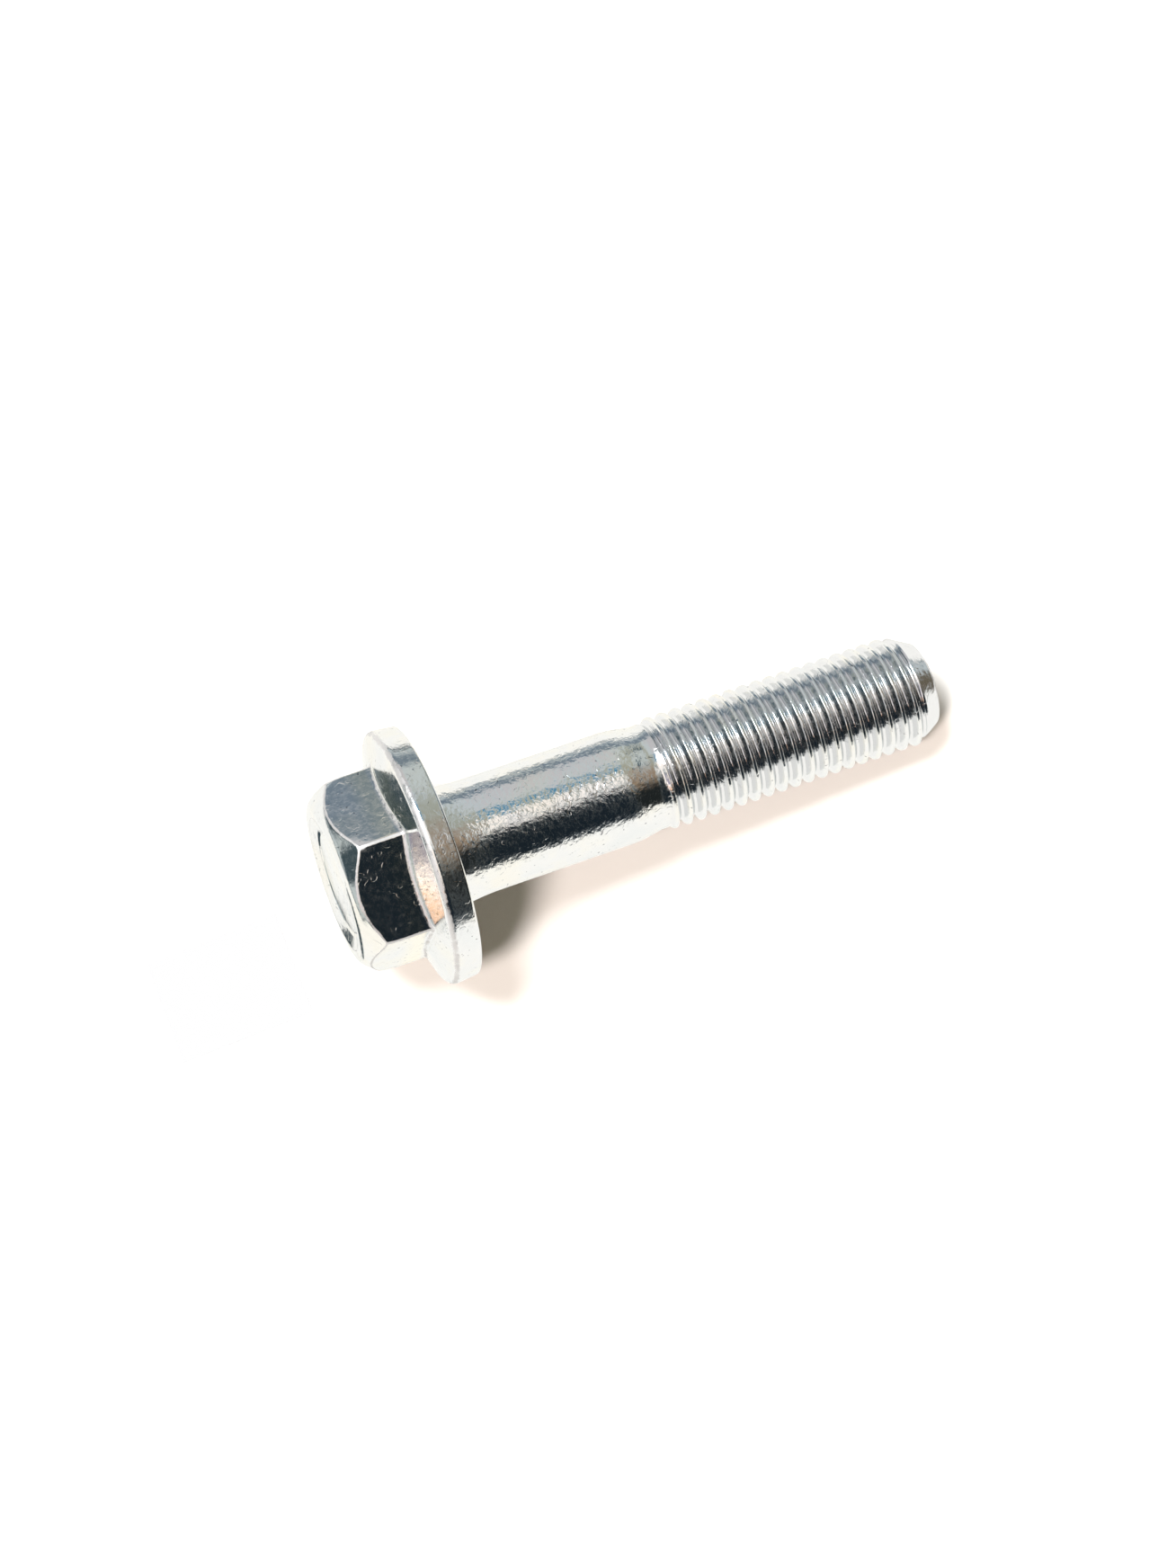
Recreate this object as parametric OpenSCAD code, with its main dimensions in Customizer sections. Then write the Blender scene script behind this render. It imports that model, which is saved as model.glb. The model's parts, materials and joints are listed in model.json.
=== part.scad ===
// Hex flange bolt with a plain shank and a fine metric thread, M10 x 1.25 x 45.
// It stands on its head: the axis is Z, the thread points up, and the origin is
// the middle of the head's top. Millimetres.

/* [Thread] */
// Diameter over the thread's crests
thread_d = 9.8; // [8:0.1:11]
// Distance from one crest to the next
thread_pitch = 1.25; // [0.75:0.05:1.5]
// Length of the thread, from the end of the shank's taper to the tip
thread_length = 26; // [12:0.5:30]
// Diameter of the flat face at the tip
tip_d = 7.2; // [5:0.1:7.8]
// Angle of the tip's chamfer, from the axis
tip_angle = 30; // [20:1:45]

/* [Shank] */
// Length from the bearing face to the tip
bolt_length = 45; // [40:1:80]
// Diameter of the plain shank
shank_d = 9.9; // [8.5:0.05:11]
// Length of the taper from the shank down to the thread's blank
taper_length = 1.7; // [0.5:0.1:4]
// Radius of the fillet between the shank and the bearing face
neck_fillet_r = 0.6; // [0.2:0.1:1.5]

/* [Hexagon] */
// Width across the flats
across_flats = 15; // [13:0.1:17]
// Height from the bearing face to the top of the head
head_height = 9.1; // [8:0.1:14]
// Depth of the crown's chamfer at the middle of a flat
crown_drop = 0.6; // [0.2:0.05:1]
// Slope of the crown's chamfer, from the head's top
crown_angle = 50; // [30:1:60]
// Radius that rounds the chamfer into the head's top
crown_round_r = 1.6; // [0.4:0.1:2]
// Width of the flat ring around the dish
rim_w = 0.6; // [0.3:0.1:2]
// Depth of the dish in the head's top
dish_depth = 0.7; // [0.2:0.1:1.5]
// Width of the dish's sloping side
dish_side_w = 0.9; // [0.2:0.1:2]

/* [Flange] */
// Widest diameter of the flange, at the top edge of its rim
flange_d = 22.5; // [19:0.1:26]
// Diameter of the rim's lower edge, at the bearing face
bearing_d = 22; // [18:0.1:25.5]
// Height of the rim
rim_h = 2.4; // [1.5:0.1:3]
// Slope of the flange's upper face
flange_angle = 18; // [10:1:30]
// Radius of the rim's top edge
rim_top_r = 0.5; // [0.1:0.05:0.7]
// Radius of the rim's lower edge
rim_low_r = 0.25; // [0.1:0.05:0.4]

/* [Hidden] */
$fn = 128;
zinc = [0.78, 0.81, 0.83];
arc_steps = 6;
// How far the flange's cone runs in under the hexagon's flats
core_overlap = 1;

// A 60 degree thread: depth of an outside thread and height of its pitch line, both in pitches
depth_share = 0.6134;
pitch_line_share = 0.3248;
crest_share = 0.125;
flank_angle = 30;

bearing_z = head_height;
tip_z = bearing_z + bolt_length;
thread_z = tip_z - thread_length;
rim_top_z = bearing_z - rim_h;

crest_r = thread_d / 2;
thread_depth = depth_share * thread_pitch;
root_r = crest_r - thread_depth;
blank_r = crest_r - pitch_line_share * thread_pitch;
crest_w = crest_share * thread_pitch;
flank_w = thread_depth * tan(flank_angle);
root_w = thread_pitch - crest_w - 2 * flank_w;
turns = floor(thread_length / thread_pitch);
rings_z = tip_z - turns * thread_pitch;

corner_d = across_flats / cos(30);
crown_r = across_flats / 2 - crown_drop / tan(crown_angle);
crown_low_z = (corner_d / 2 - crown_r) * tan(crown_angle);
rim_outer_r = crown_r - crown_round_r * tan(crown_angle / 2);
dish_r = rim_outer_r - rim_w;

flange_r = flange_d / 2;
core_r = across_flats / 2 - core_overlap;
core_z = rim_top_z - (flange_r - core_r) * tan(flange_angle);

function unit(v) = v / norm(v);

function turned(v, angle) = [v.x * cos(angle) - v.y * sin(angle), v.x * sin(angle) + v.y * cos(angle)];

// Points of an arc of radius r that rounds the corner b between a and c
function rounded(a, b, c, r) =
    let (
        u = unit(a - b),
        v = unit(c - b),
        half = acos(u * v) / 2,
        middle = b + unit(u + v) * r / sin(half),
        from = b + u * r / tan(half) - middle,
        to = b + v * r / tan(half) - middle,
        sweep = atan2(cross(from, to), from * to)
    )
    [for (i = [0 : arc_steps]) middle + turned(from, sweep * i / arc_steps)];

// The crown: a flat top, a rounded edge and a conical chamfer that trims the hexagon's corners
module crown() {
    edge = [crown_r, 0];
    low = [corner_d / 2, crown_low_z];
    rotate_extrude()
        polygon(concat(
            [[0, 0]],
            rounded([0, 0], edge, low, crown_round_r),
            [low, [corner_d / 2, rim_top_z], [0, rim_top_z]]
        ));
}

// The shallow dish forged into the head's top
module dish() {
    translate([0, 0, -dish_depth])
        cylinder(h = 2 * dish_depth, r1 = dish_r + dish_side_w, r2 = dish_r - dish_side_w);
}

module hexagon() {
    difference() {
        intersection() {
            cylinder(h = rim_top_z, d = corner_d, $fn = 6);
            crown();
        }
        dish();
    }
}

// Flange, fillet, shank, taper and the thread's blank, turned from one outline
module flange_and_shank() {
    inner = [core_r, core_z];
    top_edge = [flange_r, rim_top_z];
    low_edge = [bearing_d / 2, bearing_z];
    neck = [shank_d / 2, bearing_z];
    taper = [shank_d / 2, thread_z - taper_length];
    rotate_extrude()
        polygon(concat(
            [[0, core_z], inner],
            rounded(inner, top_edge, low_edge, rim_top_r),
            rounded(top_edge, low_edge, neck, rim_low_r),
            rounded(low_edge, neck, taper, neck_fillet_r),
            [taper, [blank_r, thread_z], [blank_r, rings_z + root_w / 2], [0, rings_z + root_w / 2]]
        ));
}

// One ring of the thread's section for each turn, with crests at the major diameter
module thread() {
    chamfer_l = (crest_r - tip_d / 2) / tan(tip_angle);
    intersection() {
        rotate_extrude()
            polygon(concat(
                [[0, thread_z], [root_r, thread_z]],
                [for (i = [0 : turns - 1])
                    let (z = rings_z + i * thread_pitch + root_w / 2)
                    each [
                        [root_r, z],
                        [crest_r, z + flank_w],
                        [crest_r, z + flank_w + crest_w],
                        [root_r, z + 2 * flank_w + crest_w]
                    ]
                ],
                [[root_r, tip_z], [0, tip_z]]
            ));
        union() {
            translate([0, 0, thread_z])
                cylinder(h = thread_length - chamfer_l, r = crest_r);
            translate([0, 0, tip_z - chamfer_l])
                cylinder(h = chamfer_l, r1 = crest_r, r2 = tip_d / 2);
        }
    }
}

module bolt() {
    color(zinc)
        union() {
            hexagon();
            flange_and_shank();
            thread();
        }
}

bolt();
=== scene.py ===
"""Looks of a zinc-plated hex flange bolt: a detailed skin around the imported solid, its finish and a stage.

Lengths are in millimetres where a comment says so; everything that reaches Blender is in metres.
The bolt stands on its head with its axis along Z. The camera and the table belong to a bolt that lies
on a table, so both are turned with it: the table leans beside the standing bolt.
"""

import json
import math

import bmesh
import bpy
import numpy as np
from mathutils import Matrix, Vector


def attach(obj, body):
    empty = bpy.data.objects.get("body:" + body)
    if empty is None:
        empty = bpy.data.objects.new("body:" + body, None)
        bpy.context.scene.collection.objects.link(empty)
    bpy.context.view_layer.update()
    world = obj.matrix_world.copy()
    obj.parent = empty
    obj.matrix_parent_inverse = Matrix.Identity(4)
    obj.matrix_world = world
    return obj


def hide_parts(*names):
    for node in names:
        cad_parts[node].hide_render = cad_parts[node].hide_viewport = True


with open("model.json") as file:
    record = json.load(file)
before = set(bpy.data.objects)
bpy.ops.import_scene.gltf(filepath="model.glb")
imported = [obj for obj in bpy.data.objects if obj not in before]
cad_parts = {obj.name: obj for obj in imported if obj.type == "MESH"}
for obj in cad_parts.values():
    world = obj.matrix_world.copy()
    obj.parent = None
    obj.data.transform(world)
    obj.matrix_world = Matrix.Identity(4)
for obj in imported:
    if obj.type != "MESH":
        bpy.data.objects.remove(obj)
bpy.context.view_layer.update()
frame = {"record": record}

MM = 0.001

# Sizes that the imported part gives, in millimetres
mounts = {mount["name"]: mount for mount in frame["record"]["mounts"]}
bearing_z = mounts["bearing_face"]["pos_m"][2] / MM
tip_z = mounts["thread"]["pos_m"][2] / MM
crest_r = mounts["thread"]["dims"]["r_mm"]
thread_length = mounts["thread"]["dims"]["length_mm"]
shank_r = mounts["shank"]["dims"]["r_mm"]

# Head and flange, in millimetres
across_flats = 15.0
corner_round_r = 0.45
corner_top_round_r = 1.3
corner_blend_h = 1.4
crown_drop = 0.6
crown_angle = math.radians(50)
crown_round_r = 1.2
chamfer_edge_r = 0.5
rim_w = 0.6
dish_depth = 0.7
dish_side_w = 0.9
dish_groove_w = 0.6
dish_groove_depth = 0.3
dish_floor_round_r = 0.15
dish_rim_round_r = 0.2
flange_r = 11.25
bearing_r = 11.0
rim_h = 2.4
flange_angle = math.radians(18)
flat_foot_r = 0.5
rim_top_r = 0.65
rim_low_r = 0.25
neck_fillet_r = 0.5
neck_flare = 0.4
neck_length = 2.8
neck_blend_r = 20

# Shank, thread and tip, in millimetres
taper_length = 2.1
taper_round_r = 9.0
taper_foot_r = 3.2
taper_foot_l = 0.45
pitch = 1.25
depth_share = 0.50
pitch_line_share = 0.25
crest_share = 0.20
flank_angle = math.radians(30)
crest_round_r = 0.1
root_round_r = 0.2
run_out_turns = 0.8
tip_r = 3.6
tip_angle = math.radians(30)
tip_round_r = 0.35
tip_cup_r = 2.6
tip_cup_depth = 0.12

# Mesh fineness
flat_columns = 13
corner_guard = math.radians(0.35)
corner_steps = 6
guard_length = 0.05
thread_arc_steps = 4
even_length = 8.0
merge_distance = 2e-7
sliver_length = 1e-8

# Wear: how far it reaches round from a corner of the hexagon, and how close to its side a row lies on it
corner_wear_angle = math.radians(0.9)
side_slack = 0.15

# Finish, in millimetres: the heights between which the flats are tinted, how far above the rim the smooth
# forged head reaches, and how far from the thread's root and crest its painted groove shade begins and ends
tint_start = 2.8
tint_full = 4.6
tint_fade = 5.0
tint_end = 5.4
forged_reach = 0.7
groove_shade_full = 0.3
groove_shade_margin = 0.05

# Camera: fitted to the photograph's outline. Lengths in millimetres, pixels in the photograph's frame
image_w = 1308
image_h = 1744
axis_rise = math.radians(18.825)
axis_away = math.radians(11.755)
camera_distance = 335.6
pixels_per_mm = 13.242
bearing_pixel = (484.1, 945.2)
corner_turn = math.radians(-14.83)
crest_height = 19.88
sensor_h = 36.0

# Table, in millimetres: how steeply the camera looks down on it, how far its white sheet reaches, and how far
# before the tip the bolt's last full crest touches it
camera_above_table = math.radians(71)
sheet_half_w = 250.0
last_crest_gap = 2.5

# Bare spot of the sheet beyond the head, along the bolt and across it, in millimetres
bare_left = -17.5
bare_right = -5.5
bare_near = -6.0
bare_far = 3.6

# Shade under the bolt in the mirrored sheet: its middle, dark half and reach across, and where along the bolt
# it starts, in millimetres
shade_middle = 1.5
shade_core = 1.0
shade_reach = 5.0
shade_start = 2.0

# Room: how much brighter than a white sheet its white is, which the grey metal takes back
room_strength = 1.15
sheet_strength = 1.16

thread_depth = depth_share * pitch
root_r = crest_r - thread_depth
blank_r = crest_r - pitch_line_share * pitch
thread_z = tip_z - thread_length
rim_top_z = bearing_z - rim_h
crown_r = across_flats / 2 - crown_drop / math.tan(crown_angle)
dish_r = crown_r - crown_round_r * math.tan(crown_angle / 2) - rim_w

# Directions around the bolt as the camera sees it: toward the camera, and down in the picture
view_turn = -corner_turn - math.radians(60)
toward = Vector((math.cos(view_turn), math.sin(view_turn), 0))
down = Vector((-math.sin(view_turn), math.cos(view_turn), 0))
axis = Vector((0, 0, 1))


class Graph:
    """A node tree that is being wired up."""

    def __init__(self, tree):
        self.tree = tree
        tree.nodes.clear()

    def feed(self, socket, value):
        if isinstance(value, bpy.types.NodeSocket):
            self.tree.links.new(value, socket)
        else:
            socket.default_value = value

    def node(self, kind, inputs=None, **settings):
        made = self.tree.nodes.new("ShaderNode" + kind)
        for name, value in settings.items():
            setattr(made, name, value)
        for key, value in (inputs or {}).items():
            self.feed(made.inputs[key], value)
        return made

    def math(self, operation, *values):
        made = self.tree.nodes.new("ShaderNodeMath")
        made.operation = operation
        for socket, value in zip(made.inputs, values):
            self.feed(socket, value)
        return made.outputs[0]

    def dot(self, vector, direction):
        made = self.node("VectorMath", {0: vector, 1: tuple(direction)}, operation="DOT_PRODUCT")
        return made.outputs["Value"]

    def smooth(self, value, low, high, to_low=0.0, to_high=1.0):
        limits = {"Value": value, "From Min": low, "From Max": high, "To Min": to_low, "To Max": to_high}
        made = self.node("MapRange", limits, interpolation_type="SMOOTHSTEP")
        return made.outputs["Result"]

    def mix(self, factor, first, second):
        made = self.node("Mix", data_type="RGBA")
        self.feed(made.inputs[0], factor)
        self.feed(made.inputs[6], first)
        self.feed(made.inputs[7], second)
        return made.outputs[2]

    def ramp(self, value, stops):
        made = self.node("ValToRGB", {"Fac": value})
        elements = made.color_ramp.elements
        while len(elements) < len(stops):
            elements.new(1.0)
        for element, (place, colour) in zip(elements, stops):
            element.position = place
            element.color = (*colour, 1.0)
        return made.outputs["Color"]

    def noise(self, vector, scale, detail, roughness):
        grain = {"Vector": vector, "Scale": scale, "Detail": detail, "Roughness": roughness}
        return self.node("TexNoise", grain).outputs["Fac"]


def unit(vectors):
    return vectors / np.linalg.norm(vectors, axis=-1, keepdims=True)


def rounded(before, corner, after, radius, steps):
    """Rows of points on the arc that rounds a corner of the outline, for all columns at once."""
    back = unit(before - corner)
    ahead = unit(after - corner)
    half = np.arccos(np.clip((back * ahead).sum(-1, keepdims=True), -1, 1)) / 2
    middle = corner + unit(back + ahead) * radius / np.sin(half)
    first = corner + back * radius / np.tan(half) - middle
    last = corner + ahead * radius / np.tan(half) - middle
    sweep = np.pi - 2 * half
    rows = []
    for step in range(steps + 1):
        share = step / steps
        near = np.sin((1 - share) * sweep) / np.sin(sweep)
        far = np.sin(share * sweep) / np.sin(sweep)
        rows.append(middle + near * first + far * last)
    return rows


def straight(start, end, parts):
    """Rows between two rows, with one close to each end so that flat stretches shade flat."""
    length = np.linalg.norm(end - start, axis=-1, keepdims=True)
    guard = np.minimum(guard_length / np.maximum(length, 1e-6), 0.25)
    shares = [guard + (1 - 2 * guard) * part / parts for part in range(parts + 1)]
    return [start + (end - start) * share for share in shares]


def outline(corners):
    """Rows along an outline, and how worn each is.

    Each corner is (points, radius, arc steps, parts of the stretch after it, wear at its middle).
    """
    rows = []
    worn = []
    for index, (points, radius, steps, parts, wear) in enumerate(corners):
        if radius:
            arc = rounded(corners[index - 1][0], points, corners[index + 1][0], radius, steps)
        else:
            arc = [points]
        if rows:
            stretch = straight(rows[-1], arc[0], corners[index - 1][3])
            rows += stretch
            worn += [0.0] * len(stretch)
        rows += arc
        worn += [wear * math.sin(math.pi * (step + 0.5) / len(arc)) for step in range(len(arc))]
    return rows, worn


def column_angles():
    """Angles of the mesh's columns once round, close together at the hexagon's rounded corners."""
    half_flat = (across_flats / 2 - corner_round_r) * math.tan(math.pi / 6)
    arc_half = math.pi / 6 - math.atan(half_flat / (across_flats / 2))
    arc = np.linspace(-arc_half, arc_half, corner_steps + 1)
    start = arc_half + corner_guard
    flat = np.linspace(start, math.pi / 3 - start, flat_columns + 2)
    sector = np.concatenate([arc, flat])
    return np.concatenate([sector + corner * math.pi / 3 for corner in range(6)])


def hexagon_radius(angles, round_r):
    """Distance from the axis to the hexagon's side, with its corners rounded."""
    apothem = across_flats / 2
    off_corner = np.abs((angles + math.pi / 6) % (math.pi / 3) - math.pi / 6)
    flat = apothem / np.cos(math.pi / 6 - off_corner)
    centre = (apothem - round_r) / math.cos(math.pi / 6)
    inside = np.maximum(round_r ** 2 - (centre * np.sin(off_corner)) ** 2, 0)
    arc = centre * np.cos(off_corner) + np.sqrt(inside)
    on_arc = apothem * np.tan(math.pi / 6 - off_corner) > (apothem - round_r) * math.tan(math.pi / 6)
    return np.where(on_arc, arc, flat)


def head_rows(angles):
    """Rows (radius, height) from the dish's middle, around the head and flange, to the thread's start."""
    side = hexagon_radius(angles, corner_round_r)
    top = hexagon_radius(angles, corner_top_round_r)
    top_z = (top - crown_r) * math.tan(crown_angle)

    def ring(radius, height):
        return np.stack(np.broadcast_arrays(radius + 0 * angles, height + 0 * angles), axis=-1)

    cone_z = rim_top_z - (flange_r - side) * math.tan(flange_angle)
    floor_r = dish_r - dish_side_w
    return outline([
        (ring(0, dish_depth - dish_groove_depth), 0, 0, 3, 0),
        (ring(floor_r - dish_groove_w, dish_depth - dish_groove_depth), dish_floor_round_r, 3, 1, 0),
        (ring(floor_r - dish_groove_w / 2, dish_depth), dish_floor_round_r, 3, 1, 0),
        (ring(floor_r, dish_depth - dish_groove_depth), dish_floor_round_r, 3, 1, 0),
        (ring(dish_r, 0), dish_rim_round_r, 4, 1, 0.6),
        (ring(crown_r, 0), crown_round_r, 9, 2, 0.2),
        (ring(top, top_z), chamfer_edge_r, 6, 2, 0.55),
        (ring((top + 3 * side) / 4, top_z + corner_blend_h / 2), 0, 0, 1, 0),
        (ring(side, top_z + corner_blend_h), 0, 0, 2, 0),
        (ring(side, cone_z), flat_foot_r, 7, 4, 0.46),
        (ring(flange_r, rim_top_z), rim_top_r, 8, 2, 0.5),
        (ring(bearing_r, bearing_z), rim_low_r, 6, 3, 0.15),
        (ring(shank_r + neck_flare, bearing_z), neck_fillet_r, 6, 2, 0),
        (ring(shank_r, bearing_z + neck_length), neck_blend_r, 6, 8, 0),
        (ring(shank_r, thread_z - taper_length), taper_round_r, 6, 2, 0),
        (ring(blank_r, thread_z), taper_foot_r, 5, 1, 0),
        (ring(blank_r, thread_z + taper_foot_l), 0, 0, 0, 0),
    ])


def thread_section():
    """One pitch of the thread's section as points (height, radius), from root middle to root middle."""
    half_crest = crest_share * pitch / 2
    half_root = pitch / 2 - half_crest - thread_depth * math.tan(flank_angle)
    corners = [
        ((-pitch / 2, root_r), 0),
        ((-pitch / 2 + half_root, root_r), root_round_r),
        ((-half_crest, crest_r), crest_round_r),
        ((half_crest, crest_r), crest_round_r),
        ((pitch / 2 - half_root, root_r), root_round_r),
        ((pitch / 2, root_r), 0),
    ]
    points = [np.array([corner[0]]) for corner in corners]
    section = [points[0][0]]
    for index in range(1, len(corners) - 1):
        radius = corners[index][1]
        arc = rounded(points[index - 1], points[index], points[index + 1], radius, thread_arc_steps)
        if index in (2, 4):
            section += [row[0] for row in straight(section[-1][None], arc[0], 1)]
        if index == 3:
            section.append(np.array([0.0, crest_r]))
        section += [row[0] for row in arc]
    return section


def tip_cone(heights):
    return tip_r + (tip_z - heights) * math.tan(tip_angle)


def thread_rows(angles):
    """Rows that climb with the thread's helix, held between the plain blank and the tip's smooth end."""
    start = thread_z + taper_foot_l
    end = tip_z - (root_r - tip_r) / math.tan(tip_angle)
    crest = bearing_z + crest_height + pitch * (angles - view_turn) / math.tau
    turns = math.ceil((end - start) / pitch) + 2
    first = math.floor((start - crest.max()) / pitch)
    rows = []
    for turn in range(first, first + turns + 2):
        for lift, radius in thread_section():
            height = np.clip(crest + turn * pitch + lift, start, end)
            grown = np.clip((height - start) / (run_out_turns * pitch), 0, 1)
            grown = grown * grown * (3 - 2 * grown)
            reach = blank_r + grown * (radius - blank_r)
            reach = np.where(height >= end, root_r, np.minimum(reach, tip_cone(height)))
            rows.append(np.stack([reach, height], axis=-1))
    return rows


def tip_rows(angles):
    """Rows of the smooth end: the last of the chamfer, its rounded edge and the cupped end face."""
    def ring(radius, height):
        return np.stack(np.broadcast_arrays(radius + 0 * angles, height + 0 * angles), axis=-1)

    start = tip_z - (root_r - tip_r) / math.tan(tip_angle)
    rows, worn = outline([
        (ring(root_r, start), 0, 0, 3, 0),
        (ring(tip_r, tip_z), tip_round_r, 6, 3, 0.6),
        (ring(tip_cup_r, tip_z), 0, 0, 3, 0),
        (ring(0, tip_z - tip_cup_depth), 0, 0, 0, 0),
    ])
    return rows[1:], worn[1:]


def bolt_mesh():
    """The whole bolt as one closed skin.

    The seam's two columns coincide and are merged, as are the rows that the thread's ends hold flat. The
    columns crowd at the hexagon's corners and spread out evenly along the shank, for an even thread.
    """
    angles = column_angles()
    angles = np.append(angles, angles[0] + math.tau)
    even = np.linspace(angles[0], angles[-1], len(angles))
    head, head_wear = head_rows(angles)
    thread = thread_rows(even)
    tip, tip_wear = tip_rows(even)
    grid = np.array(head + thread + tip)
    radius = grid[..., 0]
    height = grid[..., 1]
    evened = np.clip((height.mean(axis=1) - bearing_z - neck_length) / even_length, 0, 1)
    turn = angles + evened[:, None] * (even - angles)
    points = np.stack([radius * np.cos(turn), radius * np.sin(turn), height], axis=-1) * MM
    off_corner = np.abs((angles + math.pi / 6) % (math.pi / 3) - math.pi / 6)
    corner_wear = np.exp(-(off_corner / corner_wear_angle) ** 2)
    on_hexagon = np.abs(radius - hexagon_radius(angles, corner_round_r)).max(axis=1) < side_slack
    on_hexagon[len(head):] = False
    wear = np.array(head_wear + [0.0] * len(thread) + tip_wear)
    wear = np.maximum(wear[:, None], on_hexagon[:, None] * corner_wear)
    columns = len(angles)
    faces = []
    for row in range(len(grid) - 1):
        for column in range(columns - 1):
            corner = row * columns + column
            faces.append((corner, corner + columns, corner + columns + 1, corner + 1))
    mesh = bpy.data.meshes.new("bolt_body")
    mesh.from_pydata(points.reshape(-1, 3).tolist(), [], faces)
    mesh.attributes.new("wear", "FLOAT", "POINT").data.foreach_set("value", wear.ravel())
    work = bmesh.new()
    work.from_mesh(mesh)
    bmesh.ops.remove_doubles(work, verts=work.verts, dist=merge_distance)
    bmesh.ops.dissolve_degenerate(work, dist=sliver_length, edges=work.edges)
    bmesh.ops.recalc_face_normals(work, faces=work.faces)
    work.to_mesh(mesh)
    work.free()
    mesh.polygons.foreach_set("use_smooth", np.ones(len(mesh.polygons), bool))
    return mesh


def zinc_material():
    """Bright zinc plating over forged and rolled steel, crinkled, mottled and worn matt on its edges."""
    material = bpy.data.materials.new("zinc_plate")
    material.use_nodes = True
    graph = Graph(material.node_tree)
    place = graph.node("TexCoord").outputs["Object"]
    wear = graph.node("Attribute", attribute_name="wear").outputs["Fac"]
    warm_tint = (0.97, 0.92, 0.76, 1)
    speck_grey = (0.32, 0.33, 0.34, 1)
    groove_shade_grey = (0.79, 0.80, 0.81, 1)
    worn_white = (0.97, 0.97, 0.97, 1)
    nibble = graph.noise(place, 1300, 2, 0.6)
    worn = graph.smooth(graph.math("MULTIPLY_ADD", nibble, 0.5, wear), 0.55, 0.75)

    tint = graph.noise(place, 190, 3, 0.55)
    colour = graph.ramp(tint, [
        (0.34, (0.80, 0.82, 0.83)),
        (0.46, (0.83, 0.84, 0.84)),
        (0.56, (0.85, 0.85, 0.82)),
        (0.66, (0.86, 0.85, 0.80)),
    ])
    along_bolt = graph.dot(place, axis)
    low_flat = graph.math(
        "MULTIPLY",
        graph.smooth(along_bolt, tint_start * MM, tint_full * MM),
        graph.smooth(along_bolt, tint_fade * MM, tint_end * MM, 1.0, 0.0),
    )
    colour = graph.mix(graph.math("MULTIPLY", low_flat, 0.7), colour, warm_tint)
    specks = graph.noise(place, 2300, 1, 0.5)
    colour = graph.mix(graph.smooth(specks, 0.70, 0.78), colour, speck_grey)
    flat_place = graph.node("VectorMath", {0: place, 1: (1, 1, 0)}, operation="MULTIPLY").outputs[0]
    radius = graph.node("VectorMath", {0: flat_place}, operation="LENGTH").outputs["Value"]
    # Painted shade: the thread's flanks and roots are greyed from near the crest down to the root, standing
    # in for the shade in its grooves
    groove_shade_low = (root_r + groove_shade_full) * MM
    groove_shade_high = (crest_r - groove_shade_margin) * MM
    below_crest = graph.smooth(radius, groove_shade_low, groove_shade_high, 1.0, 0.0)
    on_thread = graph.smooth(along_bolt, thread_z * MM, (thread_z + pitch) * MM)
    painted_groove_shade = graph.math("MULTIPLY", below_crest, on_thread)
    colour = graph.mix(painted_groove_shade, colour, groove_shade_grey)
    colour = graph.mix(worn, colour, worn_white)

    grain = graph.noise(place, 2600, 3, 0.6)
    roughness = graph.smooth(grain, 0.35, 0.7, 0.10, 0.20)
    roughness = graph.math("MULTIPLY_ADD", worn, 0.30, roughness)
    metallic = graph.math("MULTIPLY_ADD", worn, -0.55, 1.0)

    peel = graph.noise(place, 2300, 2, 0.5)
    waves = graph.noise(place, 560, 2, 0.5)
    contour = graph.math("ABSOLUTE", graph.math("SUBTRACT", graph.noise(place, 1000, 1, 0.5), 0.5))
    groove = graph.math("SUBTRACT", 1.0, graph.smooth(contour, 0.0, 0.028))
    patch = graph.smooth(graph.noise(place, 800, 1, 0.5), 0.50, 0.62)
    crinkle = graph.math("MULTIPLY", groove, patch)
    past_flange = graph.smooth(along_bolt, bearing_z * MM, (bearing_z + neck_length) * MM)
    before_thread = graph.smooth(along_bolt, (thread_z - taper_length) * MM, thread_z * MM, 1.0, 0.0)
    drawn = graph.math("MULTIPLY", past_flange, before_thread)
    forged = graph.smooth(along_bolt, (rim_top_z - forged_reach) * MM, bearing_z * MM, 1.0, 0.0)
    # Each pattern's depth, and how much deeper it is on the forged head and on the shank
    patterns = [
        (waves, 0.32, -0.7, 0.4),
        (peel, 0.2, -0.45, 1.2),
        (crinkle, -0.08, 0.0, 0.1),
    ]
    height = 0.0
    for pattern, depth, on_head, on_shank in patterns:
        gain = graph.math("MULTIPLY_ADD", drawn, on_shank, 1.0)
        gain = graph.math("MULTIPLY_ADD", forged, on_head, gain)
        height = graph.math("MULTIPLY_ADD", pattern, graph.math("MULTIPLY", gain, depth), height)
    bump = graph.node("Bump", {"Height": height, "Strength": 1.0, "Distance": 0.0001})
    shader = graph.node("BsdfPrincipled", {
        "Base Color": colour,
        "Metallic": metallic,
        "Roughness": roughness,
        "Specular Tint": (0.92, 0.93, 0.93, 1),
        "Normal": bump.outputs["Normal"],
    })
    output = graph.node("OutputMaterial")
    graph.feed(output.inputs["Surface"], shader.outputs[0])
    return material


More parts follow.
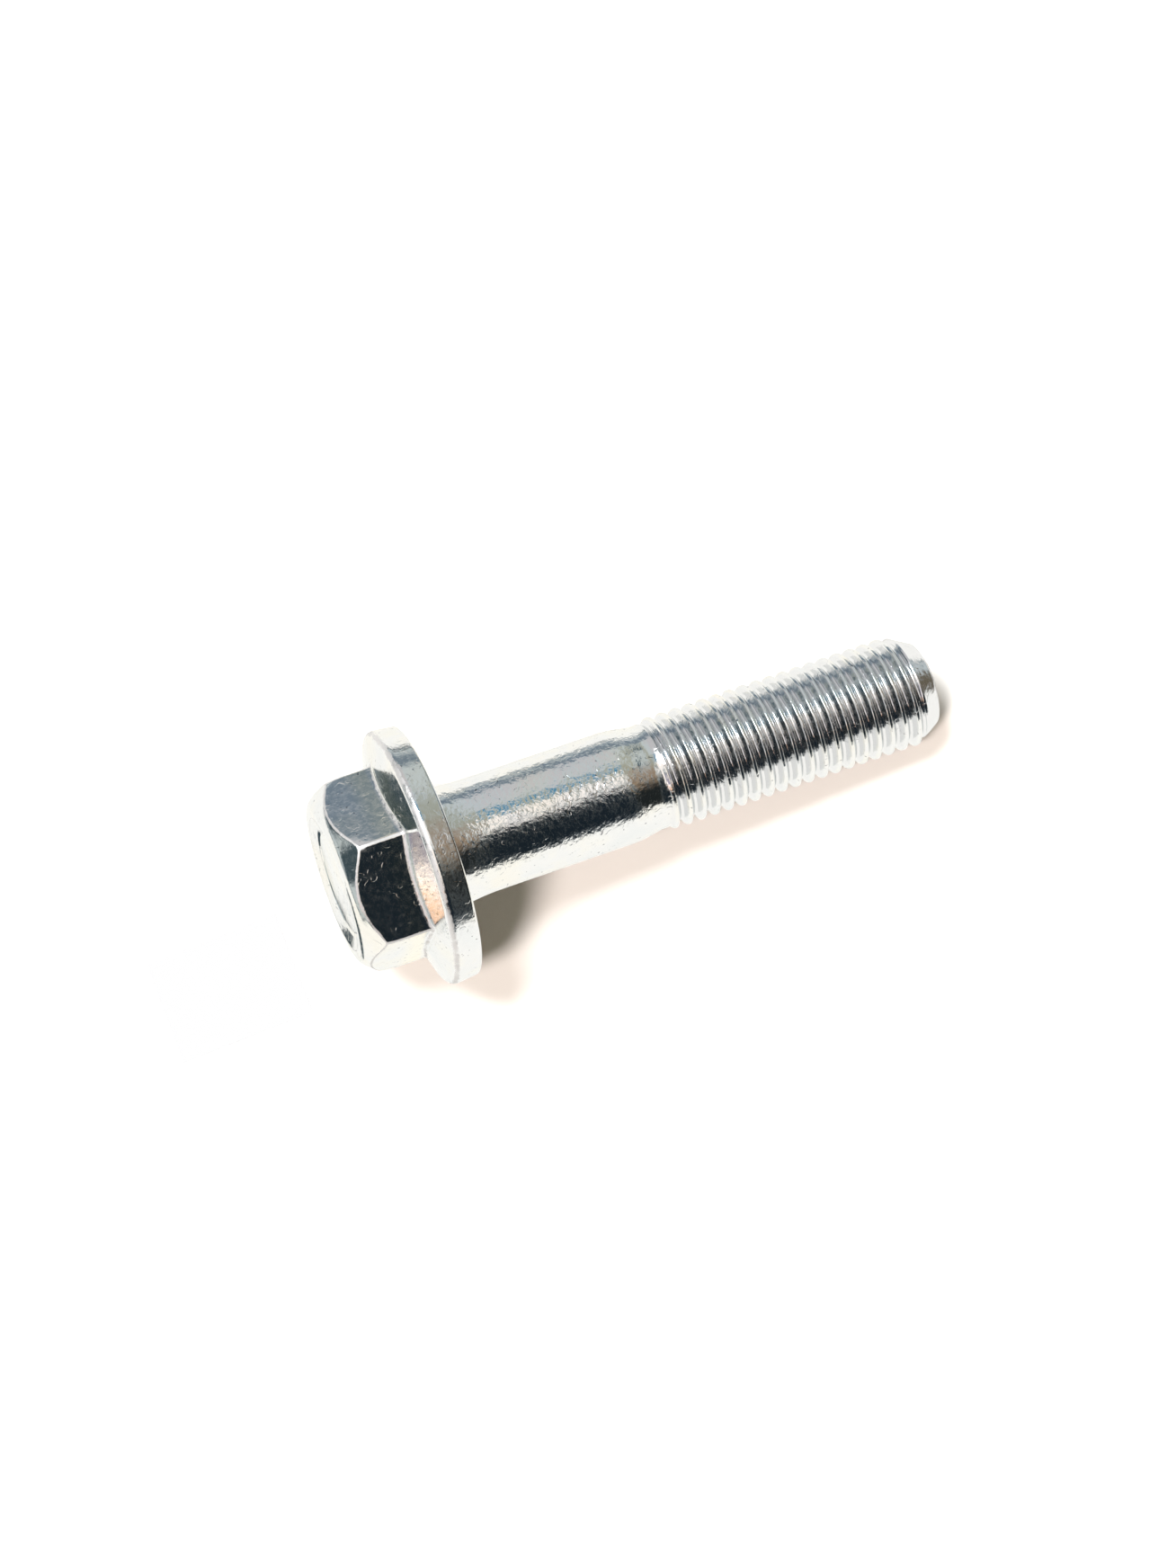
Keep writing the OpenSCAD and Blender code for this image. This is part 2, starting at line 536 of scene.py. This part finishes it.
def place_camera():
    """The camera that the photograph's outline gives."""
    along = Vector((
        math.cos(axis_away) * math.cos(axis_rise),
        -math.cos(axis_away) * math.sin(axis_rise),
        math.sin(axis_away),
    ))
    ahead = Vector((0, 0, 1))
    facing = -(ahead - ahead.dot(along) * along).normalized()
    below = along.cross(facing)

    def in_frame(index):
        return along[index] * axis + facing[index] * toward + below[index] * down

    right, low, forward = (in_frame(index) for index in range(3))
    offset_x = (bearing_pixel[0] - image_w / 2) / pixels_per_mm
    offset_y = (bearing_pixel[1] - image_h / 2) / pixels_per_mm
    spot = axis * bearing_z - (right * offset_x + low * offset_y + forward * camera_distance)
    data = bpy.data.cameras.new("camera")
    data.sensor_fit = "VERTICAL"
    data.sensor_height = sensor_h
    data.lens = sensor_h * pixels_per_mm * camera_distance / image_h
    data.clip_start = 0.01
    camera = bpy.data.objects.new("camera", data)
    turn = Matrix((right, -low, -forward)).transposed().to_4x4()
    camera.matrix_world = Matrix.Translation(spot * MM) @ turn
    bpy.context.scene.collection.objects.link(camera)
    bpy.context.scene.camera = camera


def table_directions():
    """Up from the table, along it under the bolt's axis, and along it toward the far side."""
    lean = math.atan2(flange_r - crest_r, tip_z - rim_top_z - last_crest_gap)
    level = math.sin(camera_above_table) * toward - math.cos(camera_above_table) * down
    up = math.cos(lean) * level - math.sin(lean) * axis
    along = (axis - axis.dot(up) * up).normalized()
    far = up.cross(along)
    return up, along, far


def place_table(body):
    """The table under the lying bolt: white, keeps the shadow, and is only there from its upper side.

    The sheet is nine cells without the middle one, a bare spot that gives the dish something dark to mirror.
    """
    up, along, far = table_directions()
    heights = [vertex.co.dot(up) for vertex in body.data.vertices]
    centre = up * min(heights)
    columns = [-sheet_half_w, bare_left, bare_right, sheet_half_w]
    rows = [-sheet_half_w, bare_near, bare_far, sheet_half_w]
    points = [centre + (x * along + y * far) * MM for y in rows for x in columns]
    cells = [(x, y) for y in range(3) for x in range(3) if (x, y) != (1, 1)]
    faces = [(4 * y + x, 4 * y + x + 1, 4 * y + x + 5, 4 * y + x + 4) for x, y in cells]
    mesh = bpy.data.meshes.new("table")
    mesh.from_pydata([tuple(point) for point in points], [], faces)
    table = bpy.data.objects.new("table", mesh)
    bpy.context.scene.collection.objects.link(table)
    mesh.materials.append(table_material())


def table_material():
    """White paper: overexposed to the camera, so that only the shadows show, and clear from below.

    The metal mirrors it white, with a strip of shade under the shank and thread.
    """
    material = bpy.data.materials.new("table_white")
    material.use_nodes = True
    graph = Graph(material.node_tree)
    shade = (0.16, 0.15, 0.14, 1)
    white = (1.0, 0.98, 0.935, 1)
    path = graph.node("LightPath")
    plain = graph.node("BsdfDiffuse", {"Color": (0.28, 0.27, 0.25, 1)})
    overexposed = graph.node("BsdfDiffuse", {"Color": (2.6, 2.58, 2.55, 1)})
    up, along, far = table_directions()
    place = graph.node("TexCoord").outputs["Object"]
    off_middle = graph.math("ABSOLUTE", graph.math("SUBTRACT", graph.dot(place, far), shade_middle * MM))
    beside = graph.smooth(off_middle, shade_core * MM, shade_reach * MM)
    beyond_head = graph.smooth(graph.dot(place, along), -shade_start * MM, shade_start * MM, 1.0, 0.0)
    open_sky = graph.math("MAXIMUM", beside, beyond_head)
    paper = graph.mix(open_sky, shade, white)
    mirrored = graph.node("Emission", {"Color": paper, "Strength": sheet_strength})
    seen = graph.node("MixShader", {
        0: path.outputs["Is Camera Ray"],
        1: plain.outputs[0],
        2: overexposed.outputs[0],
    })
    direct = graph.math("LESS_THAN", path.outputs["Diffuse Depth"], 0.5)
    in_metal = graph.math("MULTIPLY", path.outputs["Is Glossy Ray"], direct)
    front = graph.node("MixShader", {0: in_metal, 1: seen.outputs[0], 2: mirrored.outputs[0]})
    clear = graph.node("BsdfTransparent")
    back = graph.node("NewGeometry").outputs["Backfacing"]
    both = graph.node("MixShader", {0: back, 1: front.outputs[0], 2: clear.outputs[0]})
    output = graph.node("OutputMaterial")
    graph.feed(output.inputs["Surface"], both.outputs[0])
    return material


def srgb(red, green, blue):
    """A colour given as a picture shows it, from 0 to 255, as the linear one that a node takes."""
    shares = [value / 255 for value in (red, green, blue)]
    return tuple(s / 12.92 if s <= 0.04045 else ((s + 0.055) / 1.055) ** 2.4 for s in shares)


def place_world():
    """The room that the metal mirrors: a pale wall with a few soft-edged panels hung around the bolt.

    A panel has a name, a tone, the degrees of turn over the bolt that it spans and their soft edge, and
    the range of side that it spans and its soft edge. Turn goes from the far horizon at 0 over the zenith
    at 90 to the near horizon at 180, and side from -1 beyond the head to 1 beyond the tip. Later panels
    lie on top.
    """
    up, along, far = table_directions()
    world = bpy.data.worlds.new("room")
    bpy.context.scene.world = world
    world.use_nodes = True
    world.cycles.sampling_method = "NONE"
    graph = Graph(world.node_tree)
    direction = graph.node("TexCoord").outputs["Generated"]
    side = graph.dot(direction, along)
    lift = graph.dot(direction, up)
    angle = graph.math("ARCTAN2", lift, graph.dot(direction, far))
    from_below = graph.math("ADD", angle, math.radians(90))
    share = graph.math("FRACT", graph.math("DIVIDE", from_below, math.tau))
    turn = graph.math("MULTIPLY_ADD", share, 360.0, -90.0)

    def inside(value, low, high, edge):
        entered = graph.smooth(value, low - edge, low + edge)
        left = graph.smooth(value, high - edge, high + edge, 1.0, 0.0)
        return graph.math("MULTIPLY", entered, left)

    white = srgb(255, 246, 240)
    pale = srgb(190, 198, 200)
    cream = srgb(192, 190, 192)
    blue = srgb(78, 132, 162)
    grey = srgb(110, 124, 136)
    lilac = srgb(158, 154, 172)
    olive = srgb(160, 162, 150)
    brown = srgb(145, 126, 106)
    earth = srgb(104, 96, 82)
    umber = srgb(30, 34, 35)
    teal = srgb(68, 86, 96)
    slate = srgb(60, 74, 80)
    dark = srgb(24, 33, 40)
    daylight = (1.8, 1.62, 1.64)
    evening = (1.25, 0.80, 0.56)
    panels = [
        ("far_edge", grey, 7, 21, 3, -0.42, 0.6, 0.08),
        ("far_wall", cream, 22, 62, 4, -0.4, 0.3, 0.05),
        ("sky_strip", blue, 66, 81, 3, -0.4, 0.33, 0.05),
        ("skylight", white, 84, 102, 4, -0.72, 0.35, 0.05),
        ("tip_haze", olive, 24, 92, 10, 0.45, 0.56, 0.04),
        ("tip_haze_high", olive, 62, 92, 7, 0.36, 0.5, 0.03),
        ("tip_wall", brown, 86, 150, 18, 0.44, 0.68, 0.05),
        ("tip_shade_low", teal, 14, 40, 5, 0.56, 0.68, 0.02),
        ("tip_shade", teal, 34, 84, 8, 0.68, 0.9, 0.02),
        ("near_wall", dark, 109, 181, 8, -0.70, 0.38, 0.05),
        ("tip_light", white, 96, 115, 5, 0.27, 0.35, 0.03),
        ("near_wall_tip", umber, 124, 198, 18, 0.35, 1.2, 0.08),
        ("tip_dark", dark, 80, 186, 8, 0.71, 0.9, 0.02),
        ("skylight_low", white, 100, 138, 6, -0.42, 0.02, 0.05),
        ("tip_end", earth, 30, 180, 12, 0.88, 1.2, 0.03),
        ("head_wall", slate, 4, 58, 10, -0.78, -0.4, 0.06),
        ("head_end", slate, 48, 116, 8, -1.2, -0.76, 0.06),
        ("screen", lilac, 112, 137, 3, -0.78, -0.44, 0.05),
        ("window", daylight, 137, 142.5, 2, -0.78, -0.44, 0.05),
        ("sunset", evening, 142.5, 151, 2, -0.78, -0.44, 0.05),
    ]
    room = graph.mix(graph.smooth(lift, -0.02, 0.02), (*slate, 1), (*pale, 1))
    for name, colour, turn_from, turn_to, turn_edge, side_from, side_to, side_edge in panels:
        covers = graph.math(
            "MULTIPLY",
            inside(turn, turn_from, turn_to, turn_edge),
            inside(side, side_from, side_to, side_edge),
        )
        room = graph.mix(covers, room, (*colour, 1))
        room.node.label = name

    path = graph.node("LightPath")
    ambient = (0.078, 0.069, 0.050, 1)
    mirrored = graph.node("Background", {"Color": room, "Strength": room_strength})
    spread = graph.node("Background", {"Color": ambient, "Strength": 1.0})
    seen = graph.node("Background", {"Color": (1, 1, 1, 1), "Strength": 1.0})
    lit = graph.node("MixShader", {
        0: graph.math("GREATER_THAN", path.outputs["Diffuse Depth"], 0.5),
        1: mirrored.outputs[0],
        2: spread.outputs[0],
    })
    shown = graph.node("MixShader", {
        0: path.outputs["Is Camera Ray"],
        1: lit.outputs[0],
        2: seen.outputs[0],
    })
    output = graph.node("OutputWorld")
    graph.feed(output.inputs["Surface"], shown.outputs[0])


def place_lamps():
    """One soft lamp overhead and one from the left on the near side, for the shadows on the table.

    A lamp has a name, the direction toward it, a strength, its width in degrees, a colour, and whether the
    metal mirrors it.
    """
    up, along, far = table_directions()
    lamps = [
        ("overhead", up - 0.28 * along + 0.20 * far, 1.7, 26, (1.0, 1.0, 1.0), True),
        ("window", up - 0.45 * along - 0.42 * far, 1.0, 12, (1.0, 0.88, 0.82), False),
    ]
    for name, toward_lamp, strength, spread, colour, in_metal in lamps:
        data = bpy.data.lights.new(name, "SUN")
        data.energy = strength
        data.color = colour
        data.angle = math.radians(spread)
        lamp = bpy.data.objects.new(name, data)
        lamp.visible_glossy = in_metal
        lamp.rotation_euler = toward_lamp.to_track_quat("Z", "Y").to_euler()
        bpy.context.scene.collection.objects.link(lamp)


bpy.context.scene.view_settings.view_transform = "Standard"

body = bpy.data.objects.new("bolt_body", bolt_mesh())
bpy.context.scene.collection.objects.link(body)
body.data.materials.append(zinc_material())
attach(body, "root")
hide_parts("bolt")

place_camera()
place_table(body)
place_world()
place_lamps()
